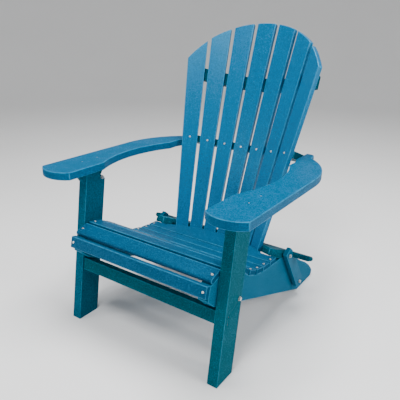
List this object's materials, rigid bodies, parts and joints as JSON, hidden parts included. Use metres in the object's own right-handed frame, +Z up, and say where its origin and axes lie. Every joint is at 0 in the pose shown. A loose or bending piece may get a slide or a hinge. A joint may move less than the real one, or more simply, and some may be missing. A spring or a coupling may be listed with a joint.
{
  "type": "folding adirondack chair",
  "caption": "Teal poly-lumber Adirondack chair with a curved fan back, contoured slatted seat and broad flat arms; the back, arms and front legs fold down together over the seat.",
  "frame": {"origin": "On the floor, at the middle of the chair's overall width and depth", "axes": "+X to the right of a viewer who faces the chair's front, +Y toward the back, +Z up; the chair faces -Y"},
  "size_m": [0.826, 0.8769, 1.06],
  "materials": {
    "lumber_back_slats": "matte",
    "lumber_seat_slats": "matte",
    "lumber_arms": "matte",
    "lumber_frame": "matte",
    "stainless_steel": "satin"
  },
  "bodies": {
    "seat": {"seat_side_left": "lumber_frame", "seat_side_right": "lumber_frame", "seat_nose_slat": "lumber_seat_slats", "seat_slat_1": "lumber_seat_slats", "seat_slat_2": "lumber_seat_slats", "seat_slat_3": "lumber_seat_slats", "seat_slat_4": "lumber_seat_slats", "seat_slat_5": "lumber_seat_slats", "seat_slat_6": "lumber_seat_slats", "seat_slat_7": "lumber_seat_slats", "seat_rear_slat": "lumber_seat_slats", "seat_apron": "lumber_seat_slats", "seat_screws": "stainless_steel", "apron_screws": "stainless_steel", "leg_pivot_bolts": "stainless_steel", "leg_pivot_nuts": "stainless_steel", "leg_pivot_washers": "stainless_steel", "link_lower_bolts": "stainless_steel", "link_lower_nuts": "stainless_steel", "link_lower_spacers": "stainless_steel"},
    "legs": {"front_leg_left": "lumber_frame", "front_leg_right": "lumber_frame", "front_stretcher": "lumber_frame", "stretcher_screws": "stainless_steel", "arm_front_bolts": "stainless_steel", "arm_front_nuts": "stainless_steel"},
    "arms": {"arm_left": "lumber_arms", "arm_right": "lumber_arms", "arm_bracket_left": "lumber_frame", "arm_bracket_right": "lumber_frame", "arm_screws_left": "stainless_steel", "arm_screws_right": "stainless_steel", "arm_rear_bolt_left": "stainless_steel", "arm_rear_bolt_right": "stainless_steel"},
    "links": {"link_left": "lumber_frame", "link_right": "lumber_frame"},
    "back": {"back_slat_1": "lumber_back_slats", "back_slat_2": "lumber_back_slats", "back_slat_3": "lumber_back_slats", "back_slat_4": "lumber_back_slats", "back_slat_5": "lumber_back_slats", "back_slat_6": "lumber_back_slats", "back_slat_7": "lumber_back_slats", "upper_back_rail": "lumber_frame", "arm_back_rail": "lumber_frame", "bottom_back_rail": "lumber_frame", "back_screws": "stainless_steel", "link_upper_bolts": "stainless_steel", "link_upper_spacers": "stainless_steel"}
  },
  "joints": [
    {"name": "leg_fold", "type": "hinge", "parent": "seat", "child": "legs", "pos_m": [0, -0.2925, 0.266], "axis": [1, 0, 0], "range_deg": [0, 80]},
    {"name": "arm_fold", "type": "hinge", "parent": "legs", "child": "arms", "pos_m": [0, -0.2495, 0.526], "axis": [1, 0, 0], "range_deg": [-69.43, 0]},
    {"name": "link_fold", "type": "hinge", "parent": "seat", "child": "links", "pos_m": [0, 0.2395, 0.068], "axis": [1, 0, 0], "range_deg": [-46.32, 0]},
    {"name": "back_fold", "type": "hinge", "parent": "links", "child": "back", "pos_m": [0, 0.1165, 0.2357], "axis": [1, 0, 0], "range_deg": [0, 126.32]}
  ],
  "couplings": [
    {"joint": "leg_fold", "follows": "back_fold", "ratio": 0.63331},
    {"joint": "arm_fold", "follows": "back_fold", "ratio": -0.54964},
    {"joint": "link_fold", "follows": "back_fold", "ratio": -0.36669}
  ]
}
